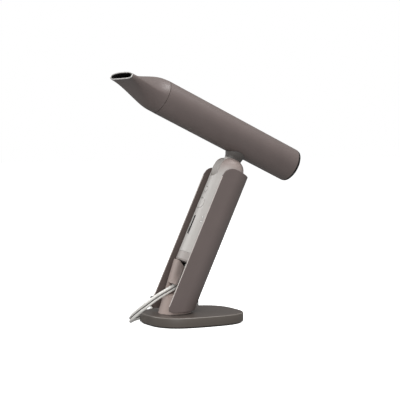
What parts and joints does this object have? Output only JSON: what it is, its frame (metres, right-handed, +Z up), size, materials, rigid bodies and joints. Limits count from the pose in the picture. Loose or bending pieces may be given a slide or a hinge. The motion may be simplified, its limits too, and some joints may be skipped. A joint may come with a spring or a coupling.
{
  "type": "hair dryer with stand",
  "caption": "Slim folding hair dryer with a flat air nozzle, resting in a tilted U-shaped holder on a small weighted base, with a flat mains cord.",
  "frame": {"origin": "middle of the underside of the holder's base, on the surface it stands on", "axes": "+Z up; -Y to the front, where the nozzle points; +X to the side opposite the coiled cord; the handle leans back by 25 degrees towards +Y"},
  "size_m": [0.2033, 0.2303, 0.2845],
  "materials": {
    "base_taupe": "satin moulded",
    "shell_taupe": "soft matt",
    "post_taupe": "satin moulded",
    "handle_grey": "satin moulded",
    "knuckle_grey": "satin moulded",
    "button_grey": "smooth",
    "lip_silver": "silver lacquer",
    "filter_mesh": "fine woven",
    "steel": "plain",
    "black_plastic": "moulded",
    "rubber": "matt",
    "mica": "layered sheet",
    "board": "lacquered",
    "lamp": "clear moulded",
    "cord_white": "soft vinyl",
    "brass": "plain"
  },
  "bodies": {
    "stand": {"stand_base_cover": "base_taupe", "stand_ballast_plate": "steel", "stand_ballast_screw_1": "steel", "stand_ballast_screw_2": "steel", "stand_ballast_screw_3": "steel", "stand_ballast_screw_4": "steel", "stand_foot_pad": "rubber", "stand_pedestal": "post_taupe", "stand_channel": "shell_taupe", "stand_channel_screw_1": "steel", "stand_channel_screw_2": "steel", "stand_rest_strip_1": "rubber", "stand_rest_strip_2": "rubber", "cord_run": "cord_white", "cord_hank": "cord_white", "cord_hank_tie": "rubber", "plug_body": "cord_white", "plug_blade_1": "brass", "plug_blade_2": "brass"},
    "handle": {"handle_shell": "handle_grey", "handle_back_cover": "handle_grey", "handle_screw_1": "steel", "handle_screw_2": "steel", "handle_end_cap": "handle_grey", "cord_strain_relief": "cord_white", "slide_switch": "black_plastic", "power_switch": "black_plastic", "cool_switch": "black_plastic", "control_board": "board", "indicator_lamp_1": "lamp", "indicator_lamp_2": "lamp", "hinge_pin": "steel", "hinge_pin_cap": "handle_grey", "hinge_washer": "steel"},
    "head": {"head_knuckle": "knuckle_grey", "barrel_shell": "shell_taupe", "knuckle_clamp_plate": "steel", "knuckle_screw_1": "steel", "knuckle_screw_2": "steel", "outlet_ring": "black_plastic", "outlet_grille": "black_plastic", "heater_tube": "mica", "heater_former": "mica", "heater_coil": "steel", "fan_motor": "steel", "motor_mount": "black_plastic", "intake_guard": "black_plastic"},
    "impeller": {"fan_impeller": "black_plastic", "fan_shaft": "steel"},
    "intake_filter": {"intake_filter_cap": "black_plastic", "intake_filter_mesh": "filter_mesh"},
    "nozzle": {"nozzle_shell": "shell_taupe", "nozzle_lip": "lip_silver"},
    "speed_slider_knob": {"speed_slider": "black_plastic"},
    "power_button_cap": {"power_button": "button_grey"},
    "cool_button_cap": {"cool_button": "button_grey"}
  },
  "joints": [
    {"name": "dryer_lift", "type": "slide", "parent": "stand", "child": "handle", "axis": [0, 0.4226, 0.9063], "range_m": [0, 0.1]},
    {"name": "head_fold", "type": "hinge", "parent": "handle", "child": "head", "pos_m": [0, 0.04675, 0.17015], "axis": [1, 0, 0], "range_deg": [0, 88]},
    {"name": "nozzle_turn", "type": "hinge", "parent": "head", "child": "nozzle", "pos_m": [0, -0.03885, 0.25751], "axis": [0, -0.9063, 0.4226], "continuous": true},
    {"name": "intake_filter_pull", "type": "slide", "parent": "head", "child": "intake_filter", "axis": [0, 0.9063, -0.4226], "range_m": [0, 0.02]},
    {"name": "impeller_spin", "type": "hinge", "parent": "head", "child": "impeller", "pos_m": [0, 0.11023, 0.18799], "axis": [0, -0.9063, 0.4226], "continuous": true},
    {"name": "speed_slide", "type": "slide", "parent": "handle", "child": "speed_slider_knob", "axis": [0, 0.4226, 0.9063], "range_m": [0, 0.0125]},
    {"name": "power_press", "type": "slide", "parent": "handle", "child": "power_button_cap", "axis": [0, 0.9063, -0.4226], "range_m": [0, 0.001], "stiffness_N_per_m": 300, "springref_m": -0.0005},
    {"name": "cool_press", "type": "slide", "parent": "handle", "child": "cool_button_cap", "axis": [0, 0.9063, -0.4226], "range_m": [0, 0.001], "stiffness_N_per_m": 300, "springref_m": -0.0005}
  ]
}
